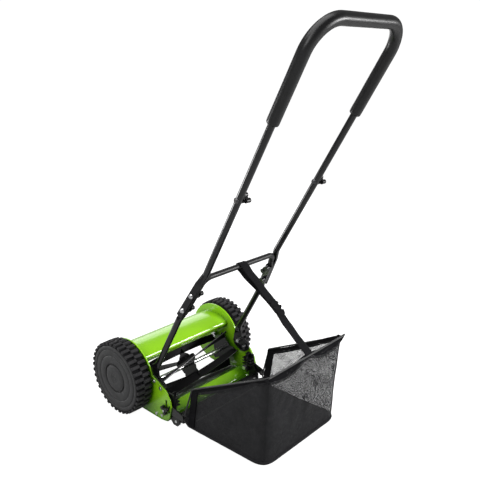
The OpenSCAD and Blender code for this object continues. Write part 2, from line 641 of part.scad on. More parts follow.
side_plate_left();
side_plate_right();
top_cover();
bed_bar();
bed_knife();
knife_screws();
cover_screws();
axle_left();
axle_right();
reel_bearing_left();
reel_bearing_right();
lower_leg_left();
lower_leg_right();
leg_bolts();
cross_brace();
mid_tube_left();
mid_tube_right();
upper_handle();
foam_grip();
brace_bolts();
upper_bolts();
bag_hook_left();
bag_hook_right();
brace_wing_left_low();
brace_wing_left_high();
brace_wing_right_low();
brace_wing_right_high();
upper_knob_left();
upper_knob_right();
wheel_left();
wheel_right();
tyre_left();
tyre_right();
ring_gear_left();
ring_gear_right();
wheel_bush_left();
wheel_bush_right();
hub_cap_left();
hub_cap_right();
reel_shaft();
reel_spiders();
reel_blades();
pinion_left();
pinion_right();
shaft_clips();
height_bracket_left();
height_bracket_right();
roller_shaft();
roller();
height_bolts();
height_knob_left();
height_knob_right();
bag_frame();
bag_floor();
bag_side_left();
bag_side_right();
bag_rear();
bag_strap();
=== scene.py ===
import json
import math

import bmesh
import bpy
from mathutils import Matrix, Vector


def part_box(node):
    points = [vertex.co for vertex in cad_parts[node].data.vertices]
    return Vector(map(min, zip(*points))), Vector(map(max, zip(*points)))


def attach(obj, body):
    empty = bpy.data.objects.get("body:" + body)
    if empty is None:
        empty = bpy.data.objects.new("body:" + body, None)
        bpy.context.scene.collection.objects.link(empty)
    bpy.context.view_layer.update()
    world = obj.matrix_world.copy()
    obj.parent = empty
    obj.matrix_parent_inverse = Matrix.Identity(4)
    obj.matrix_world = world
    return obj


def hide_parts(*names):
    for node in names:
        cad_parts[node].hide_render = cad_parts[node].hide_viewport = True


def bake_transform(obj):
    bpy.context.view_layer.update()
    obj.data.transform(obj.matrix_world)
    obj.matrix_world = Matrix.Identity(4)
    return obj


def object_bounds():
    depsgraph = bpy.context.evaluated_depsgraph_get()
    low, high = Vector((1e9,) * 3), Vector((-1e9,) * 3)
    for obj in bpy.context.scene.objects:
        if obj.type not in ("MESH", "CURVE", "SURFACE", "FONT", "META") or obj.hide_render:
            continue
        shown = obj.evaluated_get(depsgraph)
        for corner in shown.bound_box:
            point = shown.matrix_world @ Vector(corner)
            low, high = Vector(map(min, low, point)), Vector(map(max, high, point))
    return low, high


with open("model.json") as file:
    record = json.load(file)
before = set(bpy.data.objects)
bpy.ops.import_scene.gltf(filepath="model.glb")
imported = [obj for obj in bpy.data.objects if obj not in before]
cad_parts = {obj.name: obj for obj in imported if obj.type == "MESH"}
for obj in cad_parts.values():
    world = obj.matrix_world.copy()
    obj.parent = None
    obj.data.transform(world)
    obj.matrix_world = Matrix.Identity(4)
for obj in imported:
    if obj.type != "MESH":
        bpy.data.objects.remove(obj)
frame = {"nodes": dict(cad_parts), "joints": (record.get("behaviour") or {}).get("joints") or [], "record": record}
cad_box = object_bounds()
nodes = frame["nodes"]
scene = bpy.context.scene
SIDES = ((-1, "left"), (1, "right"))


# ---------------------------------------------------------------- materials
class Shade:
    """A small builder for one procedural material."""

    def __init__(self, name, **inputs):
        self.mat = bpy.data.materials.new(name)
        self.mat.use_nodes = True
        self.tree = self.mat.node_tree
        self.bsdf = self.tree.nodes["Principled BSDF"]
        self.out = self.tree.nodes["Material Output"]
        self.place = self.add("ShaderNodeTexCoord").outputs["Object"]
        for key, value in inputs.items():
            self.bsdf.inputs[key.replace("_", " ")].default_value = value

    def add(self, kind, links=(), **settings):
        node = self.tree.nodes.new(kind)
        for key, value in settings.items():
            if key in node.inputs:
                node.inputs[key].default_value = value
            else:
                setattr(node, key, value)
        for socket, source in dict(links).items():
            self.tree.links.new(source, node.inputs[socket])
        return node

    def link(self, source, target):
        self.tree.links.new(source, target)

    def noise(self, scale, detail=4.0, rough=0.55, place=None, stretch=None):
        place = place or self.place
        if stretch:
            place = self.add("ShaderNodeMapping", {"Vector": place}, Scale=stretch).outputs[0]
        return self.add("ShaderNodeTexNoise", {"Vector": place}, Scale=scale, Detail=detail,
            Roughness=rough).outputs["Fac"]

    def ramp(self, source, low, high, a, b):
        node = self.add("ShaderNodeMapRange", {"Value": source})
        for key, value in (("From Min", low), ("From Max", high), ("To Min", a), ("To Max", b)):
            node.inputs[key].default_value = value
        return node.outputs[0]

    def math(self, operation, a, b=0.0):
        node = self.add("ShaderNodeMath", operation=operation)
        for i, value in enumerate((a, b)):
            if isinstance(value, (int, float)):
                node.inputs[i].default_value = value
            else:
                self.link(value, node.inputs[i])
        return node.outputs[0]

    def mix(self, fac, a, b):
        node = self.add("ShaderNodeMix", data_type="RGBA")
        for i, value in ((0, fac), (6, a), (7, b)):
            if isinstance(value, (int, float)):
                node.inputs[i].default_value = value
            elif isinstance(value, tuple):
                node.inputs[i].default_value = (*value, 1.0)[:4]
            else:
                self.link(value, node.inputs[i])
        return node.outputs[2]

    def colour(self, source):
        self.link(source, self.bsdf.inputs["Base Color"])

    def rough(self, source):
        self.link(source, self.bsdf.inputs["Roughness"])

    def bump(self, *layers, bevel=0.0):
        """Stacks (height, distance, strength) layers, over rounded edges."""
        normal = None
        if bevel:
            normal = self.add("ShaderNodeBevel", Radius=bevel, samples=6).outputs[0]
        for height, distance, strength in layers:
            node = self.add("ShaderNodeBump", {"Height": height}, Distance=distance, Strength=strength)
            if normal is not None:
                self.link(normal, node.inputs["Normal"])
            normal = node.outputs[0]
        self.link(normal, self.bsdf.inputs["Normal"])


def paint(name, base, rough, deep, coat=0.0, peel=0.00006, bevel=0.0008, spec=0.5, dust=0.3, shade_colour=None,
        depth=(0.38, 0.86)):
    """Sprayed metal: slow tone drift, orange peel, specks of dust and, if asked, painted shade that darkens its
    nooks by ambient occlusion.
    """
    s = Shade(name)
    s.bsdf.inputs["Coat Weight"].default_value = coat
    s.bsdf.inputs["Coat Roughness"].default_value = 0.06
    s.bsdf.inputs["Specular IOR Level"].default_value = spec
    drift = s.ramp(s.noise(7.0, 3.0), 0.3, 0.7, 0.0, 1.0)
    colour = s.mix(drift, base, deep)
    specks = s.ramp(s.noise(900.0, 2.0), 0.70, 0.78, 0.0, dust)
    colour = s.mix(specks, colour, tuple(min(1.0, c * 1.6 + 0.02) for c in base))
    if shade_colour:
        # painted shade: ambient occlusion darkens the colour in nooks and close to other parts
        unshaded_share = s.add("ShaderNodeAmbientOcclusion", Distance=0.11, samples=6).outputs["AO"]
        colour = s.mix(s.ramp(unshaded_share, *depth, 0.0, 1.0), shade_colour, colour)
    s.colour(colour)
    smear = s.noise(34.0, 5.0, stretch=(1.0, 1.0, 0.35))
    s.rough(s.ramp(smear, 0.25, 0.75, rough * 0.92, rough * 1.1))
    s.bump((s.noise(420.0, 2.0), peel, 0.6), (s.noise(2600.0, 2.0), peel * 0.3, 0.5), bevel=bevel)
    return s.mat


def plastic(name, base, light, rough, grain=2400.0, depth=0.00005, bevel=0.0006, spec=0.5):
    """Moulded plastic: fine spark-eroded grain, handling marks and a faint bloom."""
    s = Shade(name)
    s.bsdf.inputs["Specular IOR Level"].default_value = spec
    bloom = s.ramp(s.noise(18.0, 6.0, 0.65), 0.35, 0.75, 0.0, 0.7)
    scuff = s.ramp(s.noise(240.0, 3.0, stretch=(1.0, 0.2, 0.2)), 0.62, 0.72, 0.0, 0.45)
    colour = s.mix(scuff, s.mix(bloom, base, light), tuple(c * 1.5 for c in light))
    s.colour(colour)
    s.rough(s.ramp(s.noise(60.0, 4.0), 0.3, 0.7, rough * 0.85, min(1.0, rough * 1.2)))
    s.bump((s.noise(grain, 3.0), depth, 0.8), (s.noise(grain * 0.12, 2.0), depth * 2, 0.3), bevel=bevel)
    return s.mat


def metal(name, base, rough, brush=(1.0, 1.0, 1.0), stain=(0.35, 0.33, 0.30), bevel=0.0004):
    """Bright metal: brushed streaks, tarnish in patches."""
    s = Shade(name, Metallic=1.0)
    streak = s.noise(700.0, 4.0, stretch=brush)
    tarnish = s.ramp(s.noise(40.0, 5.0), 0.5, 0.8, 0.0, 0.5)
    colour = s.mix(tarnish, s.mix(streak, base, tuple(c * 0.75 for c in base)), stain)
    s.colour(colour)
    s.rough(s.ramp(streak, 0.2, 0.8, rough * 0.7, rough * 1.5))
    s.bump((streak, 0.00003, 0.7), bevel=bevel)
    return s.mat


def foam():
    s = Shade("foam_skin")
    s.bsdf.inputs["Specular IOR Level"].default_value = 0.42
    cells = s.add("ShaderNodeTexVoronoi", {"Vector": s.place}, Scale=1300.0).outputs["Distance"]
    lumps = s.noise(55.0, 4.0)
    tone = s.mix(s.ramp(lumps, 0.3, 0.7, 0.0, 1.0), (0.0035, 0.0035, 0.004), (0.006, 0.006, 0.0065))
    s.colour(s.mix(s.ramp(cells, 0.0, 0.35, 0.4, 0.0), tone, (0.010, 0.010, 0.011)))
    s.rough(s.ramp(s.noise(90.0, 3.0), 0.3, 0.7, 0.30, 0.38))
    s.bump((cells, 0.00002, 0.4), (lumps, 0.0003, 0.25), (s.noise(500.0, 3.0), 0.00001, 0.4))
    return s.mat


def weave(name, base, light, pitch, rough=0.85, slack=0.0015, spec=0.12):
    """Plain woven cloth on a UV map measured in metres."""
    s = Shade(name)
    s.bsdf.inputs["Specular IOR Level"].default_value = spec
    uv = s.add("ShaderNodeUVMap").outputs[0]
    split = s.add("ShaderNodeSeparateXYZ", {"Vector": uv})
    turns = 2 * math.pi / pitch
    warp = s.math("SINE", s.math("MULTIPLY", split.outputs[0], turns))
    weft = s.math("SINE", s.math("MULTIPLY", split.outputs[1], turns))
    over = s.math("MULTIPLY", warp, weft)
    thread = s.ramp(over, -1.0, 1.0, 0.0, 1.0)
    lint = s.noise(260.0, 5.0, place=uv)
    tone = s.mix(s.ramp(s.noise(22.0, 4.0), 0.3, 0.7, 0.0, 1.0), base, light)
    s.colour(s.mix(s.math("MULTIPLY", thread, s.ramp(lint, 0.3, 0.7, 0.2, 0.9)), tone,
        tuple(c * 1.7 for c in light)))
    s.rough(s.ramp(lint, 0.3, 0.7, rough * 0.85, min(1.0, rough * 1.15)))
    s.bump((s.noise(30.0, 3.0), slack, 0.3), (thread, pitch * 0.25, 0.7))
    return s.mat


def netting(name, base, pitch, cover):
    """Open mesh: round threads both ways, see-through between, on a UV map in metres."""
    s = Shade(name, Roughness=0.6)
    s.bsdf.inputs["Specular IOR Level"].default_value = 0.2
    uv = s.add("ShaderNodeUVMap").outputs[0]
    wobble = s.add("ShaderNodeTexNoise", {"Vector": uv}, Scale=45.0, Detail=3.0).outputs["Color"]
    shift = s.add("ShaderNodeVectorMath", {0: wobble}, operation="SCALE")
    shift.inputs["Scale"].default_value = pitch * 1.2
    moved = s.add("ShaderNodeVectorMath", {0: uv, 1: shift.outputs[0]}, operation="ADD").outputs[0]
    split = s.add("ShaderNodeSeparateXYZ", {"Vector": moved})
    masks = []
    for i in (0, 1):
        saw = s.math("FRACT", s.math("MULTIPLY", split.outputs[i], 1.0 / pitch))
        away = s.math("ABSOLUTE", s.math("SUBTRACT", saw, 0.5))
        masks.append(s.math("SUBTRACT", 0.5, away))
    nearest = s.math("MINIMUM", masks[0], masks[1])
    folds = s.math("ADD", s.noise(26.0, 5.0, 0.7, place=uv),
        s.math("MULTIPLY", s.noise(150.0, 4.0, 0.7, place=uv), 0.7))
    width = s.ramp(folds, 0.6, 1.1, cover * 0.66, cover * 1.5)
    solid = s.math("LESS_THAN", nearest, width)
    height = s.ramp(nearest, 0.0, cover, 1.0, 0.0)
    tone = s.mix(s.ramp(s.noise(60.0, 4.0), 0.3, 0.7, 0.0, 1.0), base, tuple(c * 1.9 for c in base))
    s.colour(tone)
    s.rough(s.ramp(s.noise(120.0, 3.0), 0.3, 0.7, 0.5, 0.75))
    s.link(solid, s.bsdf.inputs["Alpha"])
    s.bump((height, pitch * 0.2, 0.6))
    return s.mat


def green(name, depth):
    """The frame's gloss green with painted shade in its nooks; depth is the range of ambient-occlusion open share
    over which the painted shade fades.
    """
    return paint(name, (0.275, 0.60, 0.010), 0.22, (0.25, 0.57, 0.009), coat=0.3, peel=0.00001, dust=0.0,
        shade_colour=(0.045, 0.155, 0.002), depth=depth)


M = {
    # the main green carries painted shade in its nooks
    "green_paint": green("green_gloss", (0.38, 0.86)),
    "black_paint": paint("black_powder_coat", (0.0035, 0.0035, 0.004), 0.18, (0.006, 0.006, 0.007),
    coat=0.0, peel=0.00002, spec=0.5, dust=0.1),
    "wheel_plastic": plastic("wheel_plastic", (0.024, 0.024, 0.025), (0.035, 0.035, 0.035), 0.6, spec=0.35),
    "black_plastic": plastic("black_plastic", (0.0035, 0.0035, 0.004), (0.007, 0.007, 0.0075), 0.3,
    spec=0.42),
    "bearing_plastic": plastic("bearing_plastic", (0.045, 0.045, 0.048), (0.07, 0.07, 0.072), 0.5),
    "tyre": plastic("tread_compound", (0.016, 0.0155, 0.017), (0.030, 0.029, 0.031), 0.66, grain=1500.0,
    depth=0.00012, spec=0.3),
    "knife_steel": metal("ground_knife", (0.42, 0.43, 0.44), 0.36, brush=(0.05, 1.0, 1.0)),
    "zinc_steel": metal("zinc_plate", (0.78, 0.79, 0.80), 0.22),
    "blackened_steel": metal("blackened_steel", (0.10, 0.10, 0.105), 0.35),
    "blade_steel": paint("blade_enamel", (0.0022, 0.0022, 0.0025), 0.5, (0.004, 0.004, 0.0045), bevel=0.0,
    spec=0.1),
    "foam": foam(),
    "wire": paint("wire_coat", (0.012, 0.012, 0.012), 0.4, (0.02, 0.02, 0.02)),
    "floor_fabric": weave("canvas", (0.009, 0.009, 0.010), (0.016, 0.016, 0.0175), 0.0012),
    "mesh_fabric": netting("net", (0.010, 0.010, 0.011), 0.0016, 0.22),
    "webbing": weave("webbing", (0.0035, 0.0035, 0.004), (0.008, 0.008, 0.009), 0.0016),
}
slot_of = {s["node"]: s["material_slot"] for s in frame["record"]["subparts"]}
brace_paint = paint("brace_paint", (0.006, 0.006, 0.0065), 0.42, (0.009, 0.009, 0.0095), spec=0.4, dust=0.1)
# the same green for the side plates, with lighter painted shade in their nooks
less_shaded_plate_paint = green("green_plate_less_shade", (0.26, 0.68))
own_paint = {"cross_brace": brace_paint, "side_plate_left": less_shaded_plate_paint, "side_plate_right": less_shaded_plate_paint}
for name, node in nodes.items():
    node.data.materials.clear()
    node.data.materials.append(own_paint.get(name, M[slot_of[name]]))


# ---------------------------------------------------------------- mesh tools
def finish_mesh(name, mesh, material, body, stands_for=(), sharp=35.0):
    mesh.validate()
    bm = bmesh.new()
    bm.from_mesh(mesh)
    bmesh.ops.recalc_face_normals(bm, faces=bm.faces)
    bm.to_mesh(mesh)
    bm.free()
    for polygon in mesh.polygons:
        polygon.use_smooth = True
    mesh.set_sharp_from_angle(angle=math.radians(sharp))
    for m in material if isinstance(material, list) else [material]:
        mesh.materials.append(m)
    piece = bpy.data.objects.new(name, mesh)
    scene.collection.objects.link(piece)
    if body:
        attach(piece, body)
    if stands_for:
        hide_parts(*stands_for)
    return piece


def loft(rings, close=True, cap=True, loop=False, paint_of=None):
    """A mesh through rings of points, with a UV map in metres."""
    n, count = len(rings[0]), len(rings)
    verts = [tuple(p) for ring in rings for p in ring]
    middle = [Vector(p) for p in rings[count // 2]]
    around = [0.0]
    for i in range(n):
        around.append(around[-1] + (middle[(i + 1) % n] - middle[i]).length)
    along = [0.0]
    for j in range(count):
        along.append(along[-1] + (Vector(rings[(j + 1) % count][0]) - Vector(rings[j][0])).length)
    faces, coords, marks = [], [], []
    for j in range(count if loop else count - 1):
        k = (j + 1) % count
        for i in range(n if close else n - 1):
            m = (i + 1) % n
            faces.append((j * n + i, j * n + m, k * n + m, k * n + i))
            u0, u1, v0, v1 = around[i], around[i + 1], along[j], along[j + 1]
            coords.append([(u0, v0), (u1, v0), (u1, v1), (u0, v1)])
            marks.append(paint_of[i] if paint_of else 0)
    if cap and close and not loop:
        for j in (0, count - 1):
            faces.append(tuple(j * n + i for i in range(n)))
            coords.append([(around[i], along[j]) for i in range(n)])
            marks.append(0)
    mesh = bpy.data.meshes.new("piece")
    mesh.from_pydata(verts, [], faces)
    layer = mesh.uv_layers.new(name="UVMap")
    flat = [c for face in coords for c in face]
    for i, c in enumerate(flat):
        layer.data[i].uv = c
    for polygon, mark in zip(mesh.polygons, marks):
        polygon.material_index = mark
    return mesh


def frames(points, start=None):
    """Rotation-free frames along a line of points: (point, side, up)."""
    points = [Vector(p) for p in points]
    found, up = [], start
    for i, p in enumerate(points):
        ahead = (points[min(i + 1, len(points) - 1)] - points[max(i - 1, 0)]).normalized()
        if up is None:
            up = ahead.orthogonal().normalized()
        up = (up - ahead * up.dot(ahead)).normalized()
        found.append((p, ahead.cross(up).normalized(), up.copy()))
    return found


def tube_mesh(points, radius, sides=20, start=None, wobble=None):
    rings = []
    track = frames(points, start)
    for i, (p, side, up) in enumerate(track):
        r = radius[i] if isinstance(radius, (list, tuple)) else radius
        ring = []
        for k in range(sides):
            a = 2 * math.pi * k / sides
            rr = r * (1 + (wobble(i, a) if wobble else 0.0))
            ring.append(p + rr * (math.cos(a) * side + math.sin(a) * up))
        rings.append(ring)
    return loft(rings)


# a band's section round its rounded edges, in shares of half its width and half its thickness
BAND = ((-1, -0.4), (-0.96, -1), (-0.5, -1), (0, -1), (0.5, -1), (0.96, -1), (1, -0.4),
    (1, 0.4), (0.96, 1), (0.5, 1), (0, 1), (-0.5, 1), (-0.96, 1), (-1, 0.4))


def band_mesh(points, width, thick, normal, sag=None):
    """A flat strip of webbing or binding along points; normal is its flat side's direction."""
    rings = []
    points = [Vector(p) for p in points]
    for i, p in enumerate(points):
        ahead = (points[min(i + 1, len(points) - 1)] - points[max(i - 1, 0)]).normalized()
        n = normal(i, p) if callable(normal) else Vector(normal)
        n = (n - ahead * n.dot(ahead)).normalized()
        side = ahead.cross(n).normalized()
        w, t = (width(i) if callable(width) else width) / 2, thick / 2
        ring = []
        for a, b in BAND:
            curl = sag(i, a) if sag else 0.0
            ring.append(p + side * (a * w) + n * (b * t + curl))
        rings.append(ring)
    return loft(rings)


def lathe_mesh(profile, centre, side, steps=128):
    """Turns [(radius, x)] points about an X axis through centre (y, z)."""
    rings = []
    for k in range(steps):
        a = 2 * math.pi * k / steps
        cos, sin = math.cos(a), math.sin(a)
        rings.append([Vector((side * x, centre[0] + r * cos, centre[1] + r * sin)) for r, x in profile])
    return loft(rings, close=True, loop=True)


def join(*meshes):
    bm = bmesh.new()
    for mesh in meshes:
        bm.from_mesh(mesh)
    out = bpy.data.meshes.new("piece")
    bm.to_mesh(out)
    bm.free()
    return out


def block_mesh(corners, bevel, segments=2):
    """A bevelled block through 8 corners: four of one end, then four of the other."""
    bm = bmesh.new()
    v = [bm.verts.new(c) for c in corners]
    for f in ((0, 1, 2, 3), (7, 6, 5, 4), (0, 4, 5, 1), (1, 5, 6, 2), (2, 6, 7, 3), (3, 7, 4, 0)):
        bm.faces.new([v[i] for i in f])
    bmesh.ops.recalc_face_normals(bm, faces=bm.faces)
    if bevel:
        bmesh.ops.bevel(bm, geom=list(bm.edges), offset=bevel, segments=segments, profile=0.6, affect="EDGES")
    mesh = bpy.data.meshes.new("piece")
    bm.to_mesh(mesh)
    bm.free()
    return mesh


def smooth(points, per=8):
    """A Catmull-Rom line through points."""
    p = [Vector(q) for q in points]
    p = [2 * p[0] - p[1]] + p + [2 * p[-1] - p[-2]]
    out = []
    for i in range(1, len(p) - 2):
        for k in range(per):
            t = k / per
            out.append(0.5 * ((2 * p[i]) + (p[i + 1] - p[i - 1]) * t
                + (2 * p[i - 1] - 5 * p[i] + 4 * p[i + 1] - p[i + 2]) * t * t
                + (3 * p[i] - 3 * p[i + 1] + p[i + 2] - p[i - 1]) * t ** 3))
    out.append(p[-2])
    return out


def ripple(x, y, seed=0.0):
    """Smooth, repeatable unevenness between about -1 and 1."""
    return (math.sin(17.3 * x + 3.1 * y + seed) + math.sin(-9.7 * x + 23.9 * y + 1.7 * seed)
        + 0.6 * math.sin(41.0 * x + 29.0 * y + 2.3 * seed) + 0.4 * math.sin(67.0 * x - 53.0 * y + seed)) / 3.0


# ---------------------------------------------------------------- wheels
joint = {j["name"]: j for j in frame["joints"]}
axle = Vector(joint["wheel_left_spin"]["pos_m"])
AY, AZ = axle.y, axle.z
LUGS = 36
LUG_ROOT_R = 0.0935
LUG_ROOT, LUG_TOP = 0.28, 0.235  # half widths as shares of the lug pitch
LUG_BEVEL = 0.0009
WHEEL_RIBS = 8
RIB_IN, RIB_OUT, RIB_HALF = 0.0195, 0.0885, 0.0015
# painted shade: the tread's base ring between the lugs is near-black to stand in for shade in the pockets
tread_pocket_shade = plastic("tread_pocket_shade", (0.003, 0.003, 0.0035), (0.007, 0.007, 0.008), 0.7, spec=0.15)


def wheel_profile(face, inner):
    """The wheel's section as (radius, x): hub, web, rim, then back over the ringed outer face."""
    return [(0.010, face - 0.033), (0.0205, face - 0.033), (0.0205, face - 0.0095),
        (0.0225, face - 0.009), (0.0875, face - 0.009), (0.088, face - 0.0095), (0.088, inner + 0.0006),
        (0.0886, inner), (0.0914, inner), (0.092, inner + 0.0006), (0.092, face - 0.0022),
        (0.0914, face - 0.0008), (0.0899, face), (0.0842, face), (0.0834, face - 0.0003),
        (0.0828, face - 0.0015), (0.0800, face - 0.0015), (0.0794, face - 0.0003), (0.0786, face),
        (0.0664, face), (0.0656, face - 0.0003), (0.0650, face - 0.0011), (0.0628, face - 0.0011),
        (0.0622, face - 0.0003), (0.0614, face), (0.0430, face), (0.0418, face - 0.0006),
        (0.0412, face - 0.0018), (0.0410, face - 0.004), (0.010, face - 0.004)]


for sign, word in SIDES:
    tyre_lo, tyre_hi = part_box("tyre_" + word)
    cap_lo, cap_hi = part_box("hub_cap_" + word)
    inner, face = sorted((abs(tyre_lo.x), abs(tyre_hi.x)))
    edge = max(abs(cap_lo.x), abs(cap_hi.x))
    ribs = []
    for k in range(WHEEL_RIBS):
        a = math.radians((k + 0.5) * 360 / WHEEL_RIBS)
        out = Vector((0, math.cos(a), math.sin(a)))
        turn = Vector((0, -math.sin(a), math.cos(a))) * RIB_HALF
        at = Vector((0, AY, AZ))
        quad = [at + out * RIB_IN - turn, at + out * RIB_OUT - turn,
            at + out * RIB_OUT + turn, at + out * RIB_IN + turn]
        inner_end = [q + Vector((sign * (face - 0.019), 0, 0)) for q in quad]
        outer_end = [q + Vector((sign * (face - 0.0085), 0, 0)) for q in quad]
        ribs.append(block_mesh(inner_end + outer_end, 0.0006, 1))
    body = "wheel_%s_body" % word
    turned = lathe_mesh(wheel_profile(face, inner), (AY, AZ), sign, 160)
    finish_mesh("wheel_body_" + word, join(turned, *ribs), M["wheel_plastic"], body, ["wheel_" + word])
    cap_foot = cap_lo.x if sign > 0 else -cap_hi.x
    cap = [(0.0, edge - 0.0003), (0.0052, edge - 0.0003), (0.0058, edge - 0.0009),
        (0.0066, edge - 0.0009), (0.0072, edge - 0.0003), (0.0118, edge - 0.0002),
        (0.0124, edge - 0.0008), (0.0132, edge - 0.0008), (0.0138, edge - 0.0002), (0.020, edge),
        (0.028, edge - 0.0002), (0.0335, edge - 0.0008), (0.0365, edge - 0.0020),
        (0.0378, edge - 0.0040), (0.038, cap_foot), (0.0, cap_foot)]
    cap = [(max(r, 0.0002), x) for r, x in cap]
    disc = lathe_mesh(cap, (AY, AZ), sign, 128)
    finish_mesh("hub_disc_" + word, disc, M["wheel_plastic"], body, ["hub_cap_" + word])

    # tread: a band with two staggered rows of blocks, the band near-black as painted shade in the pockets between
    # them
    tip = AZ - tyre_lo.z
    ring = [(0.0921, inner + 0.0008), (0.0930, inner), (0.0948, inner), (0.0958, inner + 0.001),
        (0.0960, inner + 0.003), (0.0960, face - 0.003), (0.0956, face - 0.001), (0.0946, face),
        (0.0930, face), (0.0921, face - 0.0008)]
    groove = lathe_mesh(ring, (AY, AZ), sign, 144)
    groove.polygons.foreach_set("material_index", [1] * len(groove.polygons))
    parts = [groove]
    middle = (inner + face) / 2
    for row, (x0, x1, shift) in enumerate(((inner, middle + 0.0004, 0.0), (middle - 0.0004, face, 0.5))):
        for k in range(LUGS):
            a = 2 * math.pi * (k + shift) / LUGS
            step = 2 * math.pi / LUGS
            root, top = LUG_ROOT * step, LUG_TOP * step
            corners = []
            for x, lean in ((x0, 0.0006 if row == 0 else 0.0), (x1, 0.0 if row == 0 else 0.0006)):
                crest = tip - lean - row * 0.0001
                for r, w in ((LUG_ROOT_R, root), (LUG_ROOT_R, -root), (crest, -top), (crest, top)):
                    corners.append(Vector((sign * x, AY + r * math.cos(a + w), AZ + r * math.sin(a + w))))
            parts.append(block_mesh(corners, LUG_BEVEL, 2))
    finish_mesh("tread_" + word, join(*parts), [M["tyre"], tread_pocket_shade], body, ["tyre_" + word])

# ---------------------------------------------------------------- reel
reel = Vector(joint["reel_spin"]["pos_m"])
half = 0.150  # half a blade's length
BLADES = 5
TWIST = 60  # degrees from end to end
LEFT_END_ANGLE = 153
ground_edge = metal("ground_edge", (0.16, 0.16, 0.17), 0.42)
# one blade's section as (distance from the shaft, thickness side)
SECTION = [(0.0360, 0.0028), (0.0370, 0.0002), (0.0480, 0.0030), (0.0545, 0.0047), (0.0578, 0.0055),
    (0.0574, 0.0080), (0.0540, 0.0072), (0.0470, 0.0055)]
blades = []
for k in range(BLADES):
    rings = []
    for i in range(61):
        x = -half + 2 * half * i / 60
        a = math.radians(LEFT_END_ANGLE - (x + half) / (2 * half) * TWIST + 360 / BLADES * k)
        rings.append([Vector((x, reel.y + r * math.cos(a) - t * math.sin(a),
            reel.z + r * math.sin(a) + t * math.cos(a))) for r, t in SECTION])
    blades.append(loft(rings, paint_of=[0, 0, 0, 0, 1, 0, 0, 0]))
finish_mesh("cutting_blades", join(*blades), [M["blade_steel"], ground_edge], "reel_body", ["reel_blades"],
    sharp=25)

# ---------------------------------------------------------------- cover
plate_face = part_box("top_cover")[1].x
COVER_R = 0.114
COVER_CENTRE = (0.002, 0.060)  # (y in front of the axle, z above the ground)
COVER_FROM, COVER_SWEEP = 43, 74  # degrees of its arc
COVER_SHEET, BAR_SHEET = 0.0016, 0.0025
ACROSS = 24  # steps along a panel


def on_arc(radius, degrees):
    """A point (y from the axle, z) on the cover's arc."""
    a = math.radians(degrees)
    return (COVER_CENTRE[0] + radius * math.cos(a), COVER_CENTRE[1] + radius * math.sin(a))


def offset_line(points, d):
    """The line moved sideways by d, for the other face of a sheet."""
    out = []
    for i, p in enumerate(points):
        a = Vector(points[max(i - 1, 0)])
        b = Vector(points[min(i + 1, len(points) - 1)])
        t = (b - a).normalized()
        out.append((p[0] - t.y * d, p[1] + t.x * d))
    return out


last = Vector(on_arc(COVER_R, COVER_FROM + COVER_SWEEP))
line = [on_arc(COVER_R, COVER_FROM)]
line = [(line[0][0] + 0.003, line[0][1] - 0.009), (line[0][0] + 0.0022, line[0][1] - 0.0045)]
line += [on_arc(COVER_R, COVER_FROM + COVER_SWEEP * i / 60) for i in range(1, 60)]
# the rear lip: turned down, then tucked forward
for step in ((-0.0010, -0.0004), (-0.0022, -0.0012), (-0.0030, -0.0024), (-0.0054, -0.0074),
        (-0.0056, -0.0090), (-0.0050, -0.0104), (-0.0018, -0.0156), (0.0020, -0.0222)):
    line.append(tuple(last + Vector(step)))
inside = offset_line(line, COVER_SHEET)
profile = line + inside[::-1]
rings = []
for i in range(ACROSS + 1):
    x = -plate_face + 2 * plate_face * i / ACROSS
    rings.append([Vector((x, AY + y, z)) for y, z in profile])
shell = loft(rings)
flanges = []
for sign, word in SIDES:
    arc_out = [on_arc(COVER_R - 0.0014, 44 + 3 * i) for i in range(25)]
    arc_in = [on_arc(COVER_R - 0.020, 44 + 3 * i) for i in range(25)]
    near, far = sign * plate_face, sign * (plate_face - COVER_SHEET)
    flange = []
    for a, b in zip(arc_out, arc_in):
        flange.append([Vector((near, AY + a[0], a[1])), Vector((far, AY + a[0], a[1])),
            Vector((far, AY + b[0], b[1])), Vector((near, AY + b[0], b[1]))])
    flanges.append(loft(flange))
finish_mesh("cover_shell", join(shell, *flanges), M["green_paint"], "chassis", ["top_cover"], sharp=50)

# ---------------------------------------------------------------- bed bar
bar_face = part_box("bed_bar")[1].x
bar = [(-0.0660, 0.0148), (-0.0820, 0.0193), (-0.0975, 0.0236), (-0.0998, 0.0244), (-0.1100, 0.0310),
    (-0.1195, 0.0370), (-0.1208, 0.0376), (-0.1220, 0.0371), (-0.1400, 0.0198), (-0.1414, 0.0183),
    (-0.1448, 0.0125), (-0.1456, 0.0106), (-0.1460, 0.0070)]
bar_profile = bar + offset_line(bar, BAR_SHEET)[::-1]
shell = loft([[Vector((-bar_face + 2 * bar_face * i / ACROSS, AY + y, z)) for y, z in bar_profile]
    for i in range(ACROSS + 1)])
tabs = []
for sign, word in SIDES:
    outline = [(-0.098, 0.010), (-0.098, 0.0215), (-0.119, 0.0335), (-0.139, 0.0160), (-0.140, 0.010)]
    tabs.append(loft([[Vector((sign * x, AY + y, z)) for y, z in outline]
        for x in (bar_face, bar_face - BAR_SHEET)]))
# the bed bar takes a copy of the green with deeper painted shade
finish_mesh("bar_shell", join(shell, *tabs), green("green_bar_deeper_shade", (0.50, 1.0)), "chassis", ["bed_bar"],
    sharp=50)

# ---------------------------------------------------------------- grip
LEAN = math.radians(30)
FOOT = (AY - 0.075, 0.100)


def slope(x, s):
    """A point s up the handle's leaning plane."""
    return Vector((x, FOOT[0] - s * math.sin(LEAN), FOOT[1] + s * math.cos(LEAN)))


TUBE_LEAN = math.radians(2)
TUBE_X, TUBE_FOOT = 0.1275, 0.392  # where the leaning tubes start
SLEEVE_FOOT = 0.807
SLEEVE_R = 0.0135


def up_tube(s):
    return TUBE_X + (s - TUBE_FOOT) * math.tan(TUBE_LEAN)


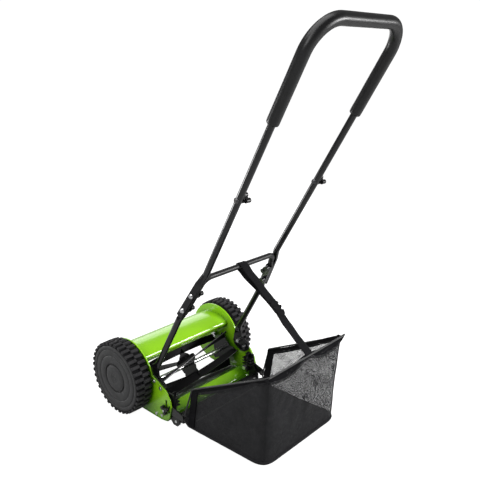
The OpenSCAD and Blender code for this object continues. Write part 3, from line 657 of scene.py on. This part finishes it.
CORNER = 0.065
TOP = 1.022
leg_s = TOP - CORNER * (1 + math.sin(TUBE_LEAN))
corner_x = up_tube(leg_s) - CORNER * math.cos(TUBE_LEAN)
corner_s = leg_s + CORNER * math.sin(TUBE_LEAN)
leg_steps = [SLEEVE_FOOT + (leg_s - SLEEVE_FOOT) * i / 16 for i in range(16)]
half_path = [(up_tube(s), s) for s in leg_steps]
half_path += [(corner_x + CORNER * math.cos(a), corner_s + CORNER * math.sin(a)) for a in
    [-TUBE_LEAN + (math.pi / 2 + TUBE_LEAN) * i / 18 for i in range(19)]]
half_path += [(corner_x * (1 - i / 8), TOP) for i in range(1, 9)]
whole = [slope(x, s) for x, s in half_path] + [slope(-x, s) for x, s in half_path[-2::-1]]
lip = [0.0096, 0.0118, 0.0128, 0.0134]
radii = [SLEEVE_R] * len(whole)
ends_a = [whole[0] + (whole[1] - whole[0]).normalized() * d for d in (0.0, 0.0006, 0.0016, 0.0034)]
ends_b = [whole[-1] + (whole[-2] - whole[-1]).normalized() * d for d in (0.0, 0.0006, 0.0016, 0.0034)]
line = ends_a + whole[1:-1] + ends_b[::-1]
radii = lip + radii[1:-1] + lip[::-1]
grip = tube_mesh(line, radii, 40, start=Vector((1, 0, 0)),
    wobble=lambda i, a: 0.006 * ripple(i * 0.05, a * 0.12, 2.0))
grip_piece = finish_mesh("foam_sleeve", grip, M["foam"], "chassis", ["foam_grip"], sharp=60)

# ---------------------------------------------------------------- bag
FRONT_X, REAR_X = 0.1455, 0.1375
CORNER_LOW, CORNER_LESS = 0.034, 0.022  # corner radius at the floor, and how much less at the rim
REAR_SPREAD = 0.016  # how far the right rear corner sags outwards at the floor
SIDE_STEPS, ROUND_STEPS, REAR_STEPS = 30, 8, 16
PIPE_R = 0.0038
SEAM_LEFT_R, SEAM_RIGHT_R = 0.0007, 0.0017
FRONT_LOW, FRONT_HIGH = (AY - 0.2145, 0.0165), (AY - 0.2330, 0.1300)
REAR_LOW, REAR_HIGH = (AY - 0.4610, 0.0135), (AY - 0.4775, 0.2540)


def wall_line(v):
    """The right half of the wall's line at height share v, from the front to the middle of the rear."""
    fx, rx = FRONT_X, REAR_X - 0.002 + 0.0055 * v
    fy = FRONT_LOW[0] + (FRONT_HIGH[0] - FRONT_LOW[0]) * v
    ry = REAR_LOW[0] + (REAR_HIGH[0] - REAR_LOW[0]) * v
    fz = FRONT_LOW[1] + (FRONT_HIGH[1] - FRONT_LOW[1]) * v
    rz = REAR_LOW[1] + (REAR_HIGH[1] - REAR_LOW[1]) * v
    r = CORNER_LOW - CORNER_LESS * v * v
    side = Vector((rx - fx, ry - fy)).normalized()
    a0 = Vector((rx, ry)) - side * r
    points = [((fx + (a0.x - fx) * t), (fy + (a0.y - fy) * t), fz + (rz - fz) * t * 0.97, 0)
        for t in [i / SIDE_STEPS for i in range(SIDE_STEPS + 1)]]
    for i in range(1, ROUND_STEPS):
        t = i / ROUND_STEPS
        p = (1 - t) ** 2 * a0 + 2 * t * (1 - t) * Vector((rx, ry)) + t * t * Vector((rx - r, ry))
        points.append((p.x, p.y, rz, 1))
    for i in range(REAR_STEPS + 1):
        x = (rx - r) * (1 - i / REAR_STEPS)
        points.append((x, ry, rz, 2))
    return points


def wall_at(v):
    """The whole line at height share v, with its bulges, creases and slack."""
    right = wall_line(v)
    full = [(-x, y, z, k) for x, y, z, k in right] + [(x, y, z, k) for x, y, z, k in right[-2::-1]]
    out = []
    for x, y, z, k in full:
        inner = v * (1 - v) * 4
        if k == 0:
            t = min(1.0, abs(y - FRONT_LOW[0]) / 0.22)
            slack = 0.0022 * ripple(y * 2.2, z * 2.6, x * 40) * min(1.0, inner * 2)
            bulge = -0.004 * math.sin(math.pi * t) * inner + slack
            spread = REAR_SPREAD * (1 - v) * min(1.0, t * t) if x > 0 else 0.0
            p = Vector((x + math.copysign(bulge, x) + spread, y, z))
            p.z -= 0.004 * math.sin(math.pi * t) * v
        else:
            share = 1 - min(1.0, abs(x) / REAR_X)
            pull = math.exp(-(x / 0.05) ** 2) * v ** 3
            bulge = 0.0045 * math.sin(math.pi * share / 2) * inner * math.sin(math.pi * v) - 0.003 * pull
            creases = 0.0016 * math.sin(26 * math.atan2(x, 0.30 * (1.02 - v) + 0.02)) * inner * share
            spread = REAR_SPREAD * (1 - v) * max(0.0, x / REAR_X)
            p = Vector((x + spread, y - bulge - creases - 0.0016 * ripple(x * 2.4, z * 2.0, 5.0) * inner, z))
            lift = 0.004 * math.exp(-(x / 0.03) ** 2)
            dip = 0.0012 * math.sin(math.pi * share) ** 2
            p.z += v ** 4 * (lift - dip)
        out.append(p)
    return out


ROWS = 40
HEM_ROW = -6  # a row just below the rim, which gives the hem its downward direction
CORNER_COLUMN = SIDE_STEPS + ROUND_STEPS // 2
grid = [wall_at(j / ROWS) for j in range(ROWS + 1)]
net = loft([list(column) for column in zip(*grid)], close=False, cap=False)
wall = finish_mesh("bag_net_wall", net, M["mesh_fabric"], "bag_body",
    ["bag_side_left", "bag_side_right", "bag_rear"], sharp=80)

top_edge, bottom_edge = grid[-1], grid[0]
hems = []
top_line = top_edge
wall_normal = []  # the wall's facing along the rim
for i, p in enumerate(top_line):
    a, b = top_line[max(i - 2, 0)], top_line[min(i + 2, len(top_line) - 1)]
    t = (b - a).normalized()
    down = (grid[HEM_ROW][i] - top_edge[i]).normalized()
    wall_normal.append(t.cross(down).normalized())


def hem_width(i):
    """Narrow along the sides and under the strap, widest between there and a rear corner."""
    p = top_line[i]
    if p.y > AY - 0.45:
        return 0.0085
    share = 1 - min(1.0, abs(p.x) / REAR_X)
    swell = math.sin(math.pi * min(1.0, share * 1.1 + 0.06)) ** 0.7
    return 0.0085 + 0.0125 * swell + 0.001 * ripple(p.x * 3.0, 0.4, 2.0)


def hem_drop(extra):
    """The hem's middle line, hung below the rim."""
    below = grid[HEM_ROW]
    return [p + (below[i] - p).normalized() * (hem_width(i) / 2 + extra) for i, p in enumerate(top_line)]


hems.append(band_mesh(hem_drop(-0.0004), hem_width, 0.0034, lambda i, p: wall_normal[i],
    sag=lambda i, a: 0.0009 * ripple(i * 0.13, a * 0.7, 3.0)))
# each ear as (distance past the corner, drop below the rim)
EAR = ((-0.016, 0.009), (-0.006, 0.0105), (0.003, 0.0085), (0.010, 0.0045), (0.016, 0.0012))
for sign in (-1, 1):
    corner = max(top_line, key=lambda p: sign * p.x - p.y)
    ear_line = smooth([corner + Vector((sign * d, 0.001 - 0.18 * d, 0.12 * d - h)) for d, h in EAR], 4)
    count = len(ear_line) - 1
    hems.append(band_mesh(ear_line, lambda i, n=count: 0.0185 * (1 - (i / n) ** 1.6) + 0.0016, 0.0026,
        (0, 1, 0), sag=lambda i, a: 0.0006 * ripple(i * 0.3, a * 0.5, 7.0)))
rear_hem = band_mesh(hem_drop(0.008), lambda i: hem_width(i) * 0.9, 0.0024, lambda i, p: wall_normal[i],
    sag=lambda i, a: 0.0012 * ripple(i * 0.17, a * 0.9, 5.0))
hem_net = finish_mesh("bag_hem_net", rear_hem, netting("hem_net", (0.007, 0.007, 0.008), 0.0016, 0.28),
    "bag_body", sharp=60)
for end in (0, -1):
    column = [row[end] for row in grid]
    hems.append(band_mesh([p + Vector((0, -0.0075, 0)) for p in column], 0.021, 0.0046, (1, 0, 0),
        sag=lambda i, a: 0.0006 * ripple(i * 0.2, a, 1.0)))
hem_piece = finish_mesh("bag_binding", join(*hems),
    weave("binding_tape", (0.004, 0.004, 0.0045), (0.009, 0.009, 0.010), 0.0010, spec=0.03), "bag_body",
    sharp=60)

corner_left = [row[CORNER_COLUMN] for row in grid][:-3]
corner_right = [row[-1 - CORNER_COLUMN] for row in grid][:-3]
piping = join(tube_mesh(bottom_edge, PIPE_R, 12, wobble=lambda i, a: 0.08 * ripple(i * 0.3, a * 0.2)),
    tube_mesh(corner_left, SEAM_LEFT_R, 8), tube_mesh(corner_right, SEAM_RIGHT_R, 8))
pipe_piece = finish_mesh("bag_piping", piping, M["floor_fabric"], "bag_body", sharp=80)

# floor canvas: straight across between the wall's two bottom edges
count = len(bottom_edge)
floor_rings = []
for i in range(count // 2 + 1):
    a, b = bottom_edge[i], bottom_edge[-1 - i]
    row = []
    for k in range(49):
        t = k / 48
        p = a.lerp(b, t)
        sagging = 0.0035 * math.sin(math.pi * t) * math.sin(math.pi * min(1.0, i / CORNER_COLUMN))
        p.z += -sagging + 0.0012 * ripple(p.x * 3.0, p.y * 3.0, 9.0) * math.sin(math.pi * t)
        row.append(p)
    floor_rings.append(row)
apron = [floor_rings[0]]
for y, z in ((0.006, 0.0006), (0.013, 0.0028), (0.019, 0.0068), (0.0225, 0.0120)):
    apron.insert(0, [Vector((p.x * (1 - y), p.y + y, p.z + z + 0.0006 * ripple(p.x * 5, y * 9)))
        for p in floor_rings[0]])
floor_rings = apron[:-1] + floor_rings
canvas = loft(floor_rings, close=False, cap=False)
floor_cloth = finish_mesh("bag_canvas_floor", canvas, M["floor_fabric"], "bag_body", ["bag_floor"],
    sharp=80)

# ---------------------------------------------------------------- strap
STRAP_W, STRAP_T = 0.025, 0.0017
WRAP_R = 0.0084  # round the cross brace
brace = slope(0, 0.379)
rim = top_edge[count // 2] + Vector((0, 0, 0.002))
down = (rim - brace).normalized()
out = Vector((0, -down.z, down.y))
if out.z < 0:
    out = -out
wrap = [brace + WRAP_R * (math.cos(a) * -down + math.sin(a) * out)
    for a in [math.radians(d) for d in range(-70, 91, 16)]]
lay = [brace + out * WRAP_R + down * d for d in (0.01, 0.03, 0.05, 0.07, 0.09, 0.105, 0.12, 0.135)]
strap_line = wrap + [p + out * 0.0014 * ripple(i * 0.21, 0.3) for i, p in enumerate(lay)]
end = rim + out * 0.003
for i in range(1, 15):
    t = i / 14
    sway = 0.0008 * ripple(t * 1.2, 0.1, 4.0) - 0.003 * math.sin(math.pi * t)
    strap_line.append(lay[-1].lerp(end, t) + out * sway)
tail_end = end + Vector((0, -0.0015, -0.014))
strap_line += [end.lerp(tail_end, t) for t in (0.5, 1.0)]
strap_line = smooth(strap_line, 3)


def strap_facing(i, p):
    """Away from the brace where the strap wraps round it, and straight out below."""
    return out if (p - brace).dot(down) > 0.004 else (p - brace).normalized()


upper = band_mesh(strap_line, STRAP_W, STRAP_T, strap_facing,
    sag=lambda i, a: 0.0005 * math.sin(i * 0.31 + a * 2.2))
# the doubled run behind it, as (distance out, distance down) from the brace
UNDER = ((-0.0072, 0.03), (-0.004, 0.055), (0.001, 0.085), (0.0048, 0.115), (0.0052, 0.150))
under = [brace - out * WRAP_R + down * d for d in (-0.002, 0.006, 0.014)]
under += [brace + out * n + down * d for n, d in UNDER]
under = smooth(under, 6)
second = band_mesh(under, STRAP_W - 0.001, STRAP_T, out,
    sag=lambda i, a: 0.0006 * math.sin(i * 0.43 + a * 3.0))
# the bunched part, as (distance down, extra distance out)
BUNCH = ((0.118, 0.0), (0.124, 0.0035), (0.132, 0.0015), (0.139, 0.004), (0.147, 0.0015), (0.154, 0.0035),
    (0.162, 0.0))
knot_points = smooth([brace + out * (0.0075 + b) + down * d for d, b in BUNCH], 5)
bunch = band_mesh(knot_points, lambda i: STRAP_W + 0.003 * math.sin(i * 0.9), 0.0026, out,
    sag=lambda i, a: 0.0016 * math.sin(i * 0.7 + a * 4.0))
strap = finish_mesh("strap_webbing", join(upper, second, bunch), M["webbing"], None, ["bag_strap"],
    sharp=60)
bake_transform(strap)

# ---------------------------------------------------------------- studio
scene.view_settings.view_transform = "Standard"


def area(name, at, target, size, power):
    data = bpy.data.lights.new(name, "AREA")
    data.shape = "RECTANGLE"
    data.size, data.size_y = size
    data.energy = power
    lamp = bpy.data.objects.new(name, data)
    lamp.location = at
    lamp.rotation_euler = (Vector(target) - Vector(at)).to_track_quat("-Z", "Y").to_euler()
    scene.collection.objects.link(lamp)


area("overhead", (-0.6, 0.1, 2.5), (0.0, 0.05, 0.2), (2.2, 2.4), 46)
area("key", (-2.3, -0.7, 1.5), (0.0, 0.0, 0.3), (0.9, 1.4), 20)
area("low_strip", (1.35, -2.0, 0.85), (0.0, 0.1, 0.15), (1.3, 0.5), 56)
area("front_low", (-1.2, 2.7, 0.35), (-0.1, -0.1, 0.5), (1.0, 0.7), 26)
area("back_panel", (1.85, 1.7, 0.85), (0.0, 0.0, 0.2), (2.4, 1.3), 18)

world = bpy.data.worlds.new("studio")
scene.world = world
world.use_nodes = True
wt = world.node_tree
back = wt.nodes["Background"]
back.inputs[0].default_value = (1, 1, 1, 1)
path = wt.nodes.new("ShaderNodeLightPath")
level = wt.nodes.new("ShaderNodeMapRange")
level.inputs["To Min"].default_value = 0.20
level.inputs["To Max"].default_value = 1.05
wt.links.new(path.outputs["Is Camera Ray"], level.inputs["Value"])
wt.links.new(level.outputs[0], back.inputs[1])

floor_mesh = bpy.data.meshes.new("floor")
bm = bmesh.new()
bmesh.ops.create_grid(bm, x_segments=8, y_segments=8, size=12.0)
bm.to_mesh(floor_mesh)
bm.free()
floor = bpy.data.objects.new("floor", floor_mesh)
floor.location.z = cad_box[0].z - 0.0005
scene.collection.objects.link(floor)
ground = Shade("floor_paper", Roughness=0.9)
ground.bsdf.inputs["Emission Color"].default_value = (1, 1, 1, 1)
ground.colour(ground.mix(ground.noise(3.0), (0.34, 0.34, 0.34), (0.36, 0.36, 0.36)))
seen = ground.add("ShaderNodeLightPath").outputs["Is Camera Ray"]
ground.link(ground.ramp(seen, 0.0, 1.0, 0.22, 0.95), ground.bsdf.inputs["Emission Strength"])
floor_mesh.materials.append(ground.mat)

# ---------------------------------------------------------------- camera
lens = bpy.data.cameras.new("camera")
camera = bpy.data.objects.new("camera", lens)
scene.collection.objects.link(camera)
scene.camera = camera
camera.location = (-1.0291, -0.9768, 0.9181)
camera.rotation_euler = (math.radians(90 - 17.859), 0, math.radians(-47.896))
lens.lens = 45.035
lens.sensor_width = 36
lens.shift_x = -0.0224
lens.shift_y = 0.0240
